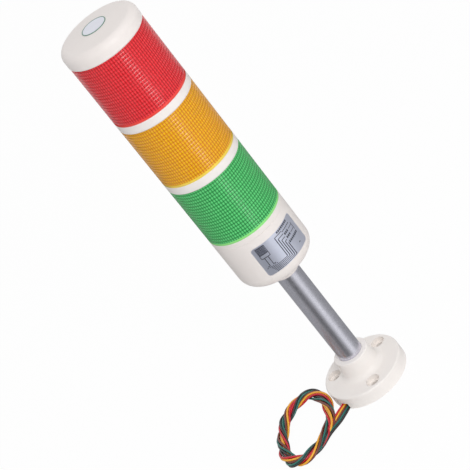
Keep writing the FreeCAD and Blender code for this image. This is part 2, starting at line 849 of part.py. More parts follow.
def make_harness():
    """The sleeve of wires that rises from the control board to the highest LED board."""
    body = new_body("tier_harness", CONTROL_BOARD_TOP)
    outline = new_sketch(body, "sleeve_outline", "XY_Plane")
    draw_circle(outline, "harness_diameter")
    top = f"({LED_BOARD_BASES['red']} + board_thickness)"
    extrude(body, "sleeve", outline, f"{top} - {CONTROL_BOARD_TOP}")
    return body


# ---------------------------------------------------------------- rating label


def make_label():
    """The foil label: a thin bent plate with rounded corners on the housing's side."""
    body = new_body("rating_label", f"{HOUSING_BASE} + label_base", "label_start - 90")
    inner = "tower_diameter / 2"
    outer = "(tower_diameter / 2 + label_thickness)"
    sketch = new_sketch(body, "section", "XZ_Plane")
    draw_polygon(sketch, [(inner, "0"), (outer, "0"), (outer, "label_height"), (inner, "label_height")])
    sheet_feature = body.newObject("PartDesign::Revolution", "foil")
    sheet_feature.Profile = sketch
    sheet_feature.ReferenceAxis = (sketch, ["V_Axis"])
    sheet_feature.setExpression("Angle", cells("label_span"))
    body.Tip = sheet_feature
    doc.recompute()
    thickness = number("label_thickness")
    corners = [
        f"Edge{index}"
        for index, edge in enumerate(sheet_feature.Shape.Edges, start=1)
        if isinstance(edge.Curve, Part.Line) and abs(edge.Length - thickness) < thickness / 10
    ]
    rounded = body.newObject("PartDesign::Fillet", "corners")
    rounded.Base = (sheet_feature, corners)
    rounded.setExpression("Radius", cells("label_corner"))
    body.Tip = rounded
    return body


# ---------------------------------------------------------------- leads


def rounded_route(points, closed=False):
    """Straight runs joined by tangent arcs, each as large as its two runs allow."""
    count = len(points)
    corners = range(count) if closed else range(1, count - 1)
    arcs = {}
    radii = []
    for index in corners:
        here = points[index]
        back = points[index - 1] - here
        ahead = points[(index + 1) % count] - here
        half_turn = (math.pi - back.getAngle(ahead)) / 2
        reach = 0.45 * min(back.Length, ahead.Length)
        radius = reach / math.tan(half_turn)
        into = here + back.normalize() * reach
        out = here + ahead.normalize() * reach
        middle = (back + ahead).normalize()
        crown = here + middle * (radius / math.cos(half_turn) - radius)
        arcs[index] = (into, crown, out)
        radii.append(radius)
    edges = []
    last_stop = arcs[count - 1][2] if closed else points[0]
    for index in range(count) if closed else range(1, count):
        if index not in arcs:
            edges.append(Part.LineSegment(last_stop, points[index]).toShape())
            continue
        into, crown, out = arcs[index]
        edges.append(Part.LineSegment(last_stop, into).toShape())
        edges.append(Part.Arc(into, crown, out).toShape())
        last_stop = out
    return Part.Wire(edges), radii


def swept_tube(route, radius, centre, direction):
    section = Part.Wire(Part.makeCircle(radius, centre, direction))
    return route.makePipeShell([section], True, False)


def new_feature(label, shape):
    feature = doc.addObject("Part::Feature", label)
    feature.Label = label
    feature.Shape = shape
    return feature


def make_riser_leads():
    """The five leads inside the light: down the pole, round a bend and out to the notch."""
    top = number(CONTROL_BOARD_BASE)
    bend = number("bundle_bend")
    low = number("bundle_height")
    reach = math.hypot(TAIL_ROUTE[0][0], TAIL_ROUTE[0][1])
    start = FreeCAD.Vector(0, 0, top)
    bend_start = FreeCAD.Vector(0, 0, low + bend)
    inside_bend = bend * (1 - math.sqrt(0.5))
    bend_middle = FreeCAD.Vector(inside_bend, 0, low + inside_bend)
    bend_end = FreeCAD.Vector(bend, 0, low)
    end = FreeCAD.Vector(reach, 0, low)
    route = Part.Wire([
        Part.LineSegment(start, bend_start).toShape(),
        Part.Arc(bend_start, bend_middle, bend_end).toShape(),
        Part.LineSegment(bend_end, end).toShape(),
    ])
    count = int(number("lead_count"))
    lead = number("lead_diameter / 2")
    ring = number("(bundle_diameter - lead_diameter) / 2")
    tubes = []
    for index in range(count):
        angle = 2 * math.pi * index / count
        offset = FreeCAD.Vector(ring * math.cos(angle), ring * math.sin(angle), 0)
        tubes.append(swept_tube(route, lead, start + offset, FreeCAD.Vector(0, 0, -1)))
    feature = new_feature("riser_leads", Part.makeCompound(tubes))
    spin = FreeCAD.Rotation(FreeCAD.Vector(0, 0, 1), number("exit_bearing"))
    feature.Placement = FreeCAD.Placement(FreeCAD.Vector(0, 0, 0), spin)
    return feature


def rounded_box(foot, forward, width, height, radius):
    """An upright rectangle with round corners, square to a route, that stands on its foot."""
    side = forward.cross(FreeCAD.Vector(0, 0, 1)).normalize()
    up = FreeCAD.Vector(0, 0, 1)
    near = radius * (1 - math.sqrt(0.5))
    edges = []
    quarters = [
        (1, 0, [(radius, 0), (near, near), (0, radius)]),
        (1, 1, [(0, radius), (near, near), (radius, 0)]),
        (-1, 1, [(radius, 0), (near, near), (0, radius)]),
        (-1, 0, [(0, radius), (near, near), (radius, 0)]),
    ]
    arcs = []
    for right, top, places in quarters:
        arcs.append([
            foot + side * right * (width / 2 - inward) + up * (height - rise if top else rise)
            for inward, rise in places
        ])
    for index, arc in enumerate(arcs):
        edges.append(Part.Arc(*arc).toShape())
        edges.append(Part.LineSegment(arc[-1], arcs[(index + 1) % len(arcs)][0]).toShape())
    return Part.Wire(edges)


def make_coil():
    """The outer shape of the lead coil, which lies flat beside the flange."""
    points = [FreeCAD.Vector(x, y, 0) for x, y in COIL_OVAL]
    centreline, radii = rounded_route(points, closed=True)
    print("coil arcs", [round(radius, 1) for radius in radii], "length", round(centreline.Length, 1))
    first = centreline.Edges[0]
    section = rounded_box(
        first.valueAt(first.FirstParameter),
        first.tangentAt(first.FirstParameter),
        number("coil_width"),
        number("coil_height"),
        number("coil_edge"),
    )
    return new_feature("lead_coil", centreline.makePipeShell([section], True, False))


def make_tail(coil):
    """The free stretch of the leads, from the notch to the coil."""
    points = [FreeCAD.Vector(*point) for point in TAIL_ROUTE]
    route, radii = rounded_route(points)
    radius = number("bundle_diameter / 2")
    tube = swept_tube(route, radius, points[0], points[1] - points[0])
    exact = math.pi * radius ** 2 * route.Length
    print("tail arcs", [round(r, 1) for r in radii], "volume", round(tube.Volume), "of", round(exact))
    return new_feature("lead_tail", tube.cut(coil.Shape))


# ---------------------------------------------------------------- the whole light

sub_parts = [
    make_flange(),
    make_pole(),
    make_pole_nuts(),
    make_pole_washers(),
    make_housing(),
    make_cover(),
    make_tier_plate("lower_tier_plate", LOWER_PLATE_BASE),
    make_tier_plate("upper_tier_plate", UPPER_PLATE_BASE),
    make_seals(),
    make_cap(),
    make_badge_disc(),
    make_badge_ring(),
    make_tie_rods(),
    make_rod_nuts(),
    make_rod_washers(),
    make_screws("board_screws", CONTROL_BOARD_TOP, f"{BOARD_POST_CIRCLE} / 2", "screw_length"),
    make_screws("cover_screws", COVER_WEB_TOP, f"-{COVER_POST_CIRCLE} / 2", "cover_screw_length"),
    make_control_board(),
    make_capacitor(),
    make_terminal_block(),
    make_driver_chips(),
    make_harness(),
    make_label(),
    make_riser_leads(),
]
for colour, lens_base in LENS_BASES.items():
    sub_parts.append(make_lens(f"{colour}_lens", lens_base))
for colour, board_base in LED_BOARD_BASES.items():
    sub_parts.append(make_led_board(colour, board_base))
    sub_parts.append(make_leds(colour, board_base))
lead_coil = make_coil()
sub_parts.append(lead_coil)
sub_parts.append(make_tail(lead_coil))
doc.recompute()

for thing in doc.Objects:
    if "Invalid" in thing.State or "Error" in thing.State:
        raise RuntimeError(f"{thing.Label} failed: {thing.State}")
for sub_part in sub_parts:
    if sub_part.Shape.isNull() or not sub_part.Shape.isValid():
        raise RuntimeError(f"{sub_part.Label} has no valid shape")

os.makedirs("parts", exist_ok=True)
for sub_part in sub_parts:
    sub_part.Shape.exportStep(f"parts/{sub_part.Label}.step")
    box = sub_part.Shape.BoundBox
    solids = len(sub_part.Shape.Solids)
    volume = sub_part.Shape.Volume
    print(f"{sub_part.Label}: {solids} solids, z {box.ZMin:.2f} to {box.ZMax:.2f}, {volume:.0f} mm3")
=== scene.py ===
import math

import bmesh
import bpy
from mathutils import Matrix, Vector


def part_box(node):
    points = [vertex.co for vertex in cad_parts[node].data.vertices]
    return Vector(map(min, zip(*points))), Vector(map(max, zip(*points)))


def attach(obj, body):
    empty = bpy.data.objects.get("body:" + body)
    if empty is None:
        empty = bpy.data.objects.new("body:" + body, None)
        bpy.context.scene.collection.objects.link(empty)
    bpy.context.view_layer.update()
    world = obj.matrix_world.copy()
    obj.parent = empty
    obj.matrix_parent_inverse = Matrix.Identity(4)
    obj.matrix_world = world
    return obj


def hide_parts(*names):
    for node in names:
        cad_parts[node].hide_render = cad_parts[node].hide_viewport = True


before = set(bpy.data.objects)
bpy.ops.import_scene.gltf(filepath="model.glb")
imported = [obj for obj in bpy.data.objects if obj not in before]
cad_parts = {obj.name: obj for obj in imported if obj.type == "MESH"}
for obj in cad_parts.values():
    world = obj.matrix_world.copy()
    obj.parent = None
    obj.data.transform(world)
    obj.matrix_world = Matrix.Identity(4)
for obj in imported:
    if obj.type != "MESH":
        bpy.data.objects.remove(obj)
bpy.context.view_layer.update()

# Stack light: white cap, red, amber and green ribbed lenses, wiring housing with a foil label,
# aluminium pole, round flange and a coil of five leads. Metres, +Z up, label towards -Y.

scene = bpy.context.scene


# ------------------------------------------------------------------------------ camera
# A long lens about 1.5 m from the tower, in front of it and above. It looks down, and it is
# rolled, so that the tower leans.

CAMERA_PLACE = Vector((0.0, -1.3507, 0.9339))
CAMERA_VIEW = Vector((-0.00978, 0.87664, -0.48105))
CAMERA_ROLL = math.radians(-38.57)
CAMERA_LENS = 143.3
CAMERA_SENSOR = 36.0
CAMERA_REACH = 20.0

camera_data = bpy.data.cameras.new("camera")
camera_data.lens = CAMERA_LENS
camera_data.sensor_width = CAMERA_SENSOR
camera_data.clip_end = CAMERA_REACH
camera = bpy.data.objects.new("camera", camera_data)
turned = CAMERA_VIEW.to_track_quat("-Z", "Y").to_matrix() @ Matrix.Rotation(CAMERA_ROLL, 3, "Z")
camera.matrix_world = Matrix.Translation(CAMERA_PLACE) @ turned.to_4x4()
scene.collection.objects.link(camera)
scene.camera = camera
scene.view_settings.view_transform = "Standard"


# ------------------------------------------------------------------------------ studio
# A white table under the light, a tall soft panel at the viewer's right shoulder, a weaker
# one overhead and an even white surround. A painted reflection lies round the foot: a glowing
# ring that only gloss sees, dim on the left and bright on the right.


class Socket:
    """A node's output that takes Python's operators: an expression adds its Math nodes."""

    def __init__(self, tree, link=None):
        self.tree = tree
        self.link = link

    def node(self, kind, settings, *inputs, output=0):
        """Any node: its settings first, then its inputs as (name or number, value or socket)."""
        made = self.tree.nodes.new(kind)
        for name, value in settings.items():
            if name == "stops":
                stops = made.color_ramp.elements
                while len(stops) < len(value):
                    stops.new(0.5)
                for stop, (place, colour) in zip(stops, value):
                    stop.position = place
                    stop.color = (*colour, 1.0)
            else:
                setattr(made, name, value)
        for name, value in inputs:
            if isinstance(value, Socket):
                self.tree.links.new(value.link, made.inputs[name])
            else:
                made.inputs[name].default_value = value
        return Socket(self.tree, made.outputs[output])

    def sibling(self, output):
        """Another output of the same node."""
        return Socket(self.tree, self.link.node.outputs[output])

    def maths(self, operation, *values, clamp=False):
        settings = {"operation": operation, "use_clamp": clamp}
        return self.node("ShaderNodeMath", settings, *enumerate(values))

    def __add__(self, other):
        return self.maths("ADD", self, other)

    def __radd__(self, other):
        return self.maths("ADD", other, self)

    def __sub__(self, other):
        return self.maths("SUBTRACT", self, other)

    def __rsub__(self, other):
        return self.maths("SUBTRACT", other, self)

    def __mul__(self, other):
        return self.maths("MULTIPLY", self, other)

    def __rmul__(self, other):
        return self.maths("MULTIPLY", other, self)

    def __truediv__(self, other):
        return self.maths("DIVIDE", self, other)

    def __pow__(self, other):
        return self.maths("POWER", self, other)

    def above(self, edge, soft):
        """0 below an edge and 1 above it, with a soft step as wide as soft."""
        return self.maths("DIVIDE", self - (edge - soft / 2), soft, clamp=True)

    def wave(self, period):
        """A wave between 0 and 1 with a given period."""
        return 0.5 + 0.5 * self.maths("COSINE", self * (2 * math.pi / period))

    def noise(self, size, detail=2.0, roughness=0.5):
        """Noise between 0 and 1 over a coordinate, in grains of about the given size."""
        settings = {"noise_dimensions": "3D"}
        inputs = (("Vector", self), ("Scale", 1 / size), ("Detail", detail), ("Roughness", roughness))
        return self.node("ShaderNodeTexNoise", settings, *inputs)

    def blend(self, first, second):
        """A colour between two colours, with this value as the share of the second."""
        settings = {"data_type": "RGBA", "blend_type": "MIX"}
        first = (*first, 1.0) if isinstance(first, tuple) else first
        second = (*second, 1.0) if isinstance(second, tuple) else second
        return self.node("ShaderNodeMix", settings, (0, self), (6, first), (7, second), output=2)

    def stretched(self, x, y, z):
        """A coordinate with each axis scaled."""
        return self.node("ShaderNodeMapping", {}, ("Vector", self), ("Scale", (x, y, z)))

    def axes(self):
        """A coordinate's x, y and z."""
        x = self.node("ShaderNodeSeparateXYZ", {}, (0, self))
        return x, x.sibling(1), x.sibling(2)

    def bump(self, height):
        """A normal from a height in metres, which this value scales."""
        inputs = (("Strength", 1.0), ("Distance", height), ("Height", self))
        return self.node("ShaderNodeBump", {}, *inputs)


def srgb(red, green, blue):
    """A display colour, 0 to 255 a channel, as linear light."""
    shares = [channel / 255 for channel in (red, green, blue)]
    return tuple(s / 12.92 if s <= 0.04045 else ((s + 0.055) / 1.055) ** 2.4 for s in shares)


def white_to_the_eye(lit, white, share):
    """A lit shader that the camera, gloss and clear parts see as white, by a given share."""
    camera_ray = lit.node("ShaderNodeLightPath", {}, output="Is Camera Ray")
    eye = camera_ray
    for name in ("Is Glossy Ray", "Is Transmission Ray"):
        eye = eye.maths("MAXIMUM", eye, camera_ray.sibling(name))
    return eye.node("ShaderNodeMixShader", {}, (0, eye * share), (1, lit), (2, white))


SURROUND = 0.56
SURROUND_COLOUR = srgb(250, 250, 252)
SURROUND_WHITE = (1.0, 1.0, 1.0, 1.0)

world = bpy.data.worlds.new("surround")
world.use_nodes = True
scene.world = world
world_tree = world.node_tree
even = world_tree.nodes["Background"]
even.inputs["Color"].default_value = (*SURROUND_COLOUR, 1.0)
even.inputs["Strength"].default_value = SURROUND
even_sky = Socket(world_tree, even.outputs[0])
white_inputs = (("Color", SURROUND_WHITE), ("Strength", 1.0))
white_sky = even_sky.node("ShaderNodeBackground", {}, *white_inputs)
seen_sky = white_to_the_eye(even_sky, white_sky, 1.0)
world_tree.links.new(seen_sky.link, world_tree.nodes["World Output"].inputs["Surface"])


class Finish:
    """A material with one Principled shader: constants by name, then what varies."""

    def __init__(self, name, **constants):
        self.material = bpy.data.materials.new(name)
        self.material.use_nodes = True
        self.tree = self.material.node_tree
        self.shader = self.tree.nodes["Principled BSDF"]
        for key, value in constants.items():
            socket = self.shader.inputs[key.replace("_", " ")]
            socket.default_value = (*value, 1.0) if isinstance(value, tuple) else value
        self.place = Socket(self.tree).node("ShaderNodeTexCoord", {}, output="Object")
        self.x, self.y, self.z = self.place.axes()

    def vary(self, **sockets):
        for key, socket in sockets.items():
            self.tree.links.new(socket.link, self.shader.inputs[key.replace("_", " ")])
        return self.material

    def show(self, shader):
        """Puts another shader on the surface, in place of the Principled one."""
        surface = self.tree.nodes["Material Output"].inputs["Surface"]
        self.tree.links.new(shader.link, surface)
        return self.material


def stage_piece(name, bm, material):
    """A flat piece of the stage, which isn't part of the tower."""
    mesh = bpy.data.meshes.new(name)
    bm.to_mesh(mesh)
    bm.free()
    mesh.materials.append(material)
    piece = bpy.data.objects.new(name, mesh)
    scene.collection.objects.link(piece)
    return piece


TABLE_HALF = 3.0
TABLE_WHITE = 0.965

table_bm = bmesh.new()
bmesh.ops.create_grid(table_bm, x_segments=1, y_segments=1, size=TABLE_HALF)
table_finish = Finish("table_white", Base_Color=srgb(248, 248, 248), Roughness=0.9)
table_top = Socket(table_finish.tree, table_finish.shader.outputs[0])
glow = table_top.node("ShaderNodeEmission", {}, ("Strength", 1.0))
stage_piece("table", table_bm, table_finish.show(white_to_the_eye(table_top, glow, TABLE_WHITE)))

# A painted reflection: a glowing ring round the foot, where the table lies, that gloss alone
# sees. How bright it is by the angle in degrees from the front, and darker far out behind the tower.
GLOSS_INNER = 0.04
GLOSS_OUTER = 0.9
GLOSS_SEGMENTS = 64
GLOSS_LIFT = 0.0002
GLOSS_STOPS = [
    (-180, 0.34),
    (-64, 0.42),
    (-50, 0.3),
    (-34, 0.1),
    (-18, 0.14),
    (0, 0.42),
    (16, 0.95),
    (34, 1.0),
    (56, 0.5),
    (86, 0.36),
    (140, 0.34),
    (180, 0.34),
]
GLOSS_FAR = 0.4
GLOSS_FAR_SOFT = 0.12
GLOSS_SIDE = math.radians(110)
GLOSS_SIDE_SOFT = math.radians(60)
GLOSS_SHADE = 0.85
GLOSS_DARK = (0.02, 0.02, 0.02)

gloss_bm = bmesh.new()
for radius in (GLOSS_INNER, GLOSS_OUTER):
    bmesh.ops.create_circle(gloss_bm, segments=GLOSS_SEGMENTS, radius=radius)
bmesh.ops.bridge_loops(gloss_bm, edges=gloss_bm.edges)
bmesh.ops.translate(gloss_bm, verts=gloss_bm.verts, vec=(0, 0, GLOSS_LIFT))
gloss = Finish("painted_reflection_glow")
bearing = gloss.x.maths("ARCTAN2", gloss.x, -1 * gloss.y)
turn_share = bearing / (2 * math.pi) + 0.5
gloss_stops = [(angle / 360 + 0.5, (share, share, share)) for angle, share in GLOSS_STOPS]
graded = turn_share.node("ShaderNodeValToRGB", {"stops": gloss_stops}, ("Fac", turn_share))
reach = (gloss.x * gloss.x + gloss.y * gloss.y) ** 0.5
far = reach.above(GLOSS_FAR, GLOSS_FAR_SOFT)
behind = bearing.maths("ABSOLUTE", bearing).above(GLOSS_SIDE, GLOSS_SIDE_SOFT)
shaded = (GLOSS_SHADE * far * behind).blend(graded, GLOSS_DARK)
shine = shaded.node("ShaderNodeEmission", {}, ("Color", shaded))
painted_reflection_ring = stage_piece("painted_reflection_ring", gloss_bm, gloss.show(shine))
painted_reflection_ring.visible_camera = False
painted_reflection_ring.visible_diffuse = False
painted_reflection_ring.visible_transmission = False
painted_reflection_ring.visible_shadow = False

# The soft panels: place, size and watts. Both face the tower's middle.
TOWER_MIDDLE = Vector((0.0, 0.0, 0.2))
PANELS = [
    ("front_panel", (0.36, -1.5, 1.05), (0.5, 1.0), 12.5),
    ("top_panel", (0.2, 0.2, 1.9), (1.4, 1.4), 3.9),
]
for name, place, size, watts in PANELS:
    panel_data = bpy.data.lights.new(name, "AREA")
    panel_data.shape = "RECTANGLE"
    panel_data.size, panel_data.size_y = size
    panel_data.energy = watts
    panel = bpy.data.objects.new(name, panel_data)
    facing = (TOWER_MIDDLE - Vector(place)).to_track_quat("-Z", "Y")
    panel.matrix_world = Matrix.Translation(place) @ facing.to_matrix().to_4x4()
    scene.collection.objects.link(panel)


# ------------------------------------------------------------------------------ leads
# Five stranded leads of 2 mm in soft PVC. They leave the flange's notch side by side and lie in
# a coil of three turns, where they twist about each other. Their far ends are stripped and
# tinned.

MM = 0.001
UP = Vector((0, 0, 1))

LEADS = [
    ("red", srgb(216, 14, 42), srgb(190, 14, 40)),
    ("yellow", srgb(252, 186, 48), srgb(240, 166, 40)),
    ("brown", srgb(122, 48, 34), srgb(102, 38, 30)),
    ("green", srgb(10, 112, 98), srgb(10, 94, 88)),
    ("black", srgb(36, 30, 30), srgb(28, 24, 24)),
]
LEAD_RADIUS = 1.0 * MM
LEAD_ROUNDNESS = 3

# The bundle's route: its tail from the notch, then the coil's oval, both in millimetres.
TAIL_POINTS = [
    (-27.11, -16.03, 2.9),
    (-40.4, -23.9, 2.9),
    (-52.6, -32.8, 2.9),
]
OVAL_POINTS = [
    (-54.0, -31.5),
    (-71.5, -44.0),
    (-91.0, -47.5),
    (-100.5, -31.0),
    (-97.0, -9.0),
    (-87.5, 13.0),
    (-73.5, 27.5),
    (-55.0, 32.0),
    (-44.0, 16.5),
    (-44.5, -8.0),
]
ROUTE_FINENESS = 12
COIL_TURNS = 3
TURN_POINTS = 24
COIL_START = 0.06
COIL_TWISTS = 3
COIL_SPREAD = 3.3 * MM
COIL_MIDDLE = 4.8 * MM
COIL_RISE = 2.0 * MM
TUCK_STEPS = 9
TUCK_LEVEL = 2.9 * MM


def spline_points(name, points, closed=False):
    """The points of a smooth NURBS line with the given control points."""
    data = bpy.data.curves.new(name, "CURVE")
    data.dimensions = "3D"
    data.resolution_u = ROUTE_FINENESS
    spline = data.splines.new("NURBS")
    spline.points.add(len(points) - 1)
    for point, place in zip(spline.points, points):
        point.co = (*place, 1.0)
    spline.order_u = 3
    spline.use_cyclic_u = closed
    spline.use_endpoint_u = not closed
    carrier = bpy.data.objects.new(name, data)
    mesh = bpy.data.meshes.new_from_object(carrier)
    line = [vertex.co.copy() for vertex in mesh.vertices]
    bpy.data.objects.remove(carrier)
    bpy.data.curves.remove(data)
    bpy.data.meshes.remove(mesh)
    return line


# The coil's turns wind about the oval, a third of a turn apart, and the last end is tucked in.
oval = spline_points("coil_oval", [(x * MM, y * MM, 0.0) for x, y in OVAL_POINTS], closed=True)
route = [Vector(point) * MM for point in TAIL_POINTS]
coil_steps = COIL_TURNS * TURN_POINTS
for step in range(coil_steps + 1):
    turns = COIL_START + step / TURN_POINTS
    nearest = round(turns * len(oval))
    here = oval[nearest % len(oval)]
    ahead = oval[(nearest + 1) % len(oval)]
    side = (ahead - here).normalized().cross(UP)
    phase = 2 * math.pi * turns * (COIL_TWISTS + 1 / COIL_TURNS) + math.pi
    tuck = max(0.0, 1 - (coil_steps - step) / TUCK_STEPS)
    across = COIL_SPREAD * math.cos(phase) * (1 - tuck)
    rise = COIL_MIDDLE + COIL_RISE * math.sin(phase)
    rise += tuck * (TUCK_LEVEL - rise)
    route.append(here + across * side + rise * UP)
path = spline_points("lead_route", route)

# In the tail the leads lie in a tilted ribbon, pinched in the notch. It fades into an oval ring
# that turns once in a lay and breathes a little, as loose leads do.
RIBBON_PITCH = 1.75 * MM
RIBBON_TILT = 0.43
RIBBON_END = 44 * MM
RIBBON_FADE = 26 * MM
NOTCH_PINCH = 0.75
NOTCH_LENGTH = 12 * MM
RING_ACROSS = 2.2 * MM
RING_UP = 1.35 * MM
RING_START = 0.2
RING_LAY = 81 * MM
LOOSE_SHARE = 0.2
LOOSE_LENGTH = 61 * MM


def lay_lead(order):
    """The centre line of one lead, by its order in the ribbon."""
    middle = (len(LEADS) - 1) / 2
    line = []
    gone = 0.0
    for index, place in enumerate(path):
        before = path[max(index - 1, 0)]
        after = path[min(index + 1, len(path) - 1)]
        gone += (place - before).length
        along = (after - before).normalized()
        side = along.cross(UP).normalized()
        up = side.cross(along)
        angle = 2 * math.pi * (RING_START + order / len(LEADS) + gone / RING_LAY)
        loose = 1 + LOOSE_SHARE * math.sin(2 * math.pi * gone / LOOSE_LENGTH + 2 * order)
        ring_across = RING_ACROSS * loose * math.cos(angle)
        ring_up = RING_UP * loose * math.sin(angle)
        flat = min(max((RIBBON_END - gone) / RIBBON_FADE, 0.0), 1.0)
        flat = flat * flat * (3 - 2 * flat)
        pinch = min(NOTCH_PINCH + (1 - NOTCH_PINCH) * gone / NOTCH_LENGTH, 1.0)
        ribbon_across = RIBBON_PITCH * pinch * (middle - order)
        ribbon_up = RIBBON_PITCH * RIBBON_TILT * (middle - order)
        across = flat * ribbon_across + (1 - flat) * ring_across
        line.append(place + across * side + (flat * ribbon_up + (1 - flat) * ring_up) * up)
    return line


def tube(name, line, radius):
    """A round closed tube along a line, as a mesh."""
    data = bpy.data.curves.new(name, "CURVE")
    data.dimensions = "3D"
    data.bevel_depth = radius
    data.bevel_resolution = LEAD_ROUNDNESS
    data.use_fill_caps = True
    spline = data.splines.new("POLY")
    spline.points.add(len(line) - 1)
    for point, place in zip(spline.points, line):
        point.co = (*place, 1.0)
    carrier = bpy.data.objects.new(name, data)
    mesh = bpy.data.meshes.new_from_object(carrier)
    bpy.data.objects.remove(carrier)
    bpy.data.curves.remove(data)
    return mesh


def add_mesh(bm, mesh, slot_number):
    """Adds a mesh to a bmesh with one material slot, and deletes it."""
    known = len(bm.faces)
    bm.from_mesh(mesh)
    bm.faces.ensure_lookup_table()
    for face in bm.faces[known:]:
        face.material_index = slot_number
    bpy.data.meshes.remove(mesh)


def new_piece(name, bm, materials):
    """A smooth-shaded object from a bmesh, which rides with the tower."""
    bmesh.ops.recalc_face_normals(bm, faces=bm.faces)
    for face in bm.faces:
        face.smooth = True
    mesh = bpy.data.meshes.new(name)
    bm.to_mesh(mesh)
    bm.free()
    for material in materials:
        mesh.materials.append(material)
    piece = bpy.data.objects.new(name, mesh)
    scene.collection.objects.link(piece)
    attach(piece, "root")
    return piece


def lead_finish(name, colour, tired):
    """Soft PVC: satin, with faint clouds of a duller shade and the marks of the strands."""
    finish = Finish(name, Specular_IOR_Level=0.6)
    clouds = finish.place.noise(4 * MM, detail=3.0)
    strands = finish.place.noise(0.5 * MM)
    return finish.vary(
        Base_Color=clouds.blend(colour, tired),
        Roughness=0.26 + 0.14 * clouds,
        Normal=strands.bump(0.02 * MM),
    )


BARE_POINTS = 3
BARE_HIDDEN = 2
BARE_RADIUS = 0.6 * MM

leads_bm = bmesh.new()
for order, (name, colour, tired) in enumerate(LEADS):
    line = lay_lead(order)
    tip = line[-BARE_POINTS - BARE_HIDDEN:]
    add_mesh(leads_bm, tube(name, line[:-BARE_POINTS], LEAD_RADIUS), order)
    add_mesh(leads_bm, tube(name, tip, BARE_RADIUS), len(LEADS))
tinned = Finish("tinned_copper", Base_Color=srgb(168, 156, 146), Metallic=1.0)
tin_grain = tinned.place.noise(0.3 * MM)
tinned.vary(Roughness=0.3 + 0.2 * tin_grain, Normal=tin_grain.bump(0.05 * MM))
lead_materials = [lead_finish(name + "_lead", colour, tired) for name, colour, tired in LEADS]
leads = new_piece("lead_bundle", leads_bm, [*lead_materials, tinned.material])
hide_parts("lead_tail", "lead_coil")


# ------------------------------------------------------------------------------ riser leads
# The same five leads inside the light: a ring round one line, which comes down the pole and
# bends out to the notch under the flange. Their colours go by the angle round that line, in
# the order in which they leave the notch.

RISER_BEND = 13.0 * MM
RISER_ORDER = ("yellow", "red", "brown", "black", "green")
RISER_DUST = (0.02, 0.016, 0.016)
RISER_DUST_SHARE = 0.15


def dress(material, *nodes):
    """Gives one material to the frame's own parts."""
    for name in nodes:
        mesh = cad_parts[name].data
        mesh.materials.clear()
        mesh.materials.append(material)


notch = Vector(TAIL_POINTS[0]) * MM
outward = notch.xy.normalized()
lead_colours = {name: colour for name, colour, tired in LEADS}
riser = Finish("riser_pvc", Specular_IOR_Level=0.6)
short = RISER_BEND - (riser.x * outward.x + riser.y * outward.y)
over = notch.z + RISER_BEND - riser.z
bend_squared = short.maths("MAXIMUM", short, 0.0) ** 2 + over.maths("MAXIMUM", over, 0.0) ** 2
inward = RISER_BEND - bend_squared ** 0.5
sideways = riser.y * outward.x - riser.x * outward.y
ring_share = sideways.maths("ARCTAN2", sideways, inward) / (2 * math.pi) + 0.5
riser_stops = [(n / len(RISER_ORDER), lead_colours[name]) for n, name in enumerate(RISER_ORDER)]
banded = ring_share.node("ShaderNodeValToRGB", {"stops": riser_stops}, ("Fac", ring_share))
banded.link.node.color_ramp.interpolation = "CONSTANT"
riser_clouds = riser.place.noise(4 * MM, detail=3.0)
riser.vary(
    Base_Color=(RISER_DUST_SHARE * riser_clouds).blend(banded, RISER_DUST),
    Roughness=0.26 + 0.14 * riser_clouds,
)
dress(riser.material, "riser_leads")


# ------------------------------------------------------------------------------ white mouldings
# Flange, housing, housing cover, tier plates and cap are injection moulded in white ABS
# with a fine satin texture. The flange is screwed down through its three pockets.


def white_moulding(name, colour, shade):
    """Satin ABS: an even warm white with very faint clouds and a fine orange-peel skin."""
    finish = Finish(name, Specular_IOR_Level=0.4)
    clouds = finish.place.noise(18 * MM, detail=3.0)
    skin = finish.place.noise(0.35 * MM)
    return finish.vary(
        Base_Color=clouds.blend(colour, shade),
        Roughness=0.36 + 0.12 * skin,
        Normal=skin.bump(0.012 * MM),
    )


body_abs = white_moulding("white_abs", srgb(240, 233, 229), srgb(236, 229, 224))
ring_abs = white_moulding("ring_abs", srgb(243, 237, 233), srgb(239, 233, 228))
# The flange's copy of the white ABS is painted lighter than the housing's, which stands in for light
# that the lamps give the flange too little of.
flange_abs_painted_lighter = white_moulding("flange_abs_painted_lighter", srgb(251, 246, 241), srgb(248, 242, 237))
dress(body_abs, "base_housing", "housing_cover", "top_cap")
dress(flange_abs_painted_lighter, "mounting_flange")
dress(ring_abs, "lower_tier_plate", "upper_tier_plate")


# ------------------------------------------------------------------------------ housing collar
# The short tapered collar under the housing, where the pole goes in. It is moulded with the
# housing and open below for the tube. Its radii and heights are in millimetres.

COLLAR_TOP = 15.5
COLLAR_WAIST = 13.4
COLLAR_FOOT = 12.7
COLLAR_BORE = 11.3
COLLAR_DROP = 10.8
COLLAR_SUNK = 0.3
COLLAR_ROUND = 0.8
COLLAR_EASE = 0.3 * COLLAR_ROUND
COLLAR_TURNS = 96


def spun(section, base, turns):
    """A closed section of (radius, height over the base) in millimetres, spun once round."""
    bm = bmesh.new()
    verts = [bm.verts.new((radius * MM, 0.0, (base + z) * MM)) for radius, z in section]
    edges = [bm.edges.new(pair) for pair in zip(verts, verts[1:] + verts[:1])]
    bmesh.ops.spin(
        bm,
        geom=verts + edges,
        cent=(0, 0, 0),
        axis=(0, 0, 1),
        angle=2 * math.pi,
        steps=turns,
        use_merge=True,
        use_duplicate=False,
    )
    return bm


housing_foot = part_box("base_housing")[0][2] / MM
collar_section = [
    (COLLAR_BORE, COLLAR_SUNK),
    (COLLAR_TOP, COLLAR_SUNK),
    (COLLAR_WAIST, -0.5 * COLLAR_DROP),
    (COLLAR_FOOT, COLLAR_ROUND - COLLAR_DROP),
    (COLLAR_FOOT - COLLAR_EASE, COLLAR_EASE - COLLAR_DROP),
    (COLLAR_FOOT - COLLAR_ROUND, -COLLAR_DROP),
    (COLLAR_BORE, -COLLAR_DROP),
]
collar_bm = spun(collar_section, housing_foot, COLLAR_TURNS)
new_piece("housing_collar", collar_bm, [body_abs])


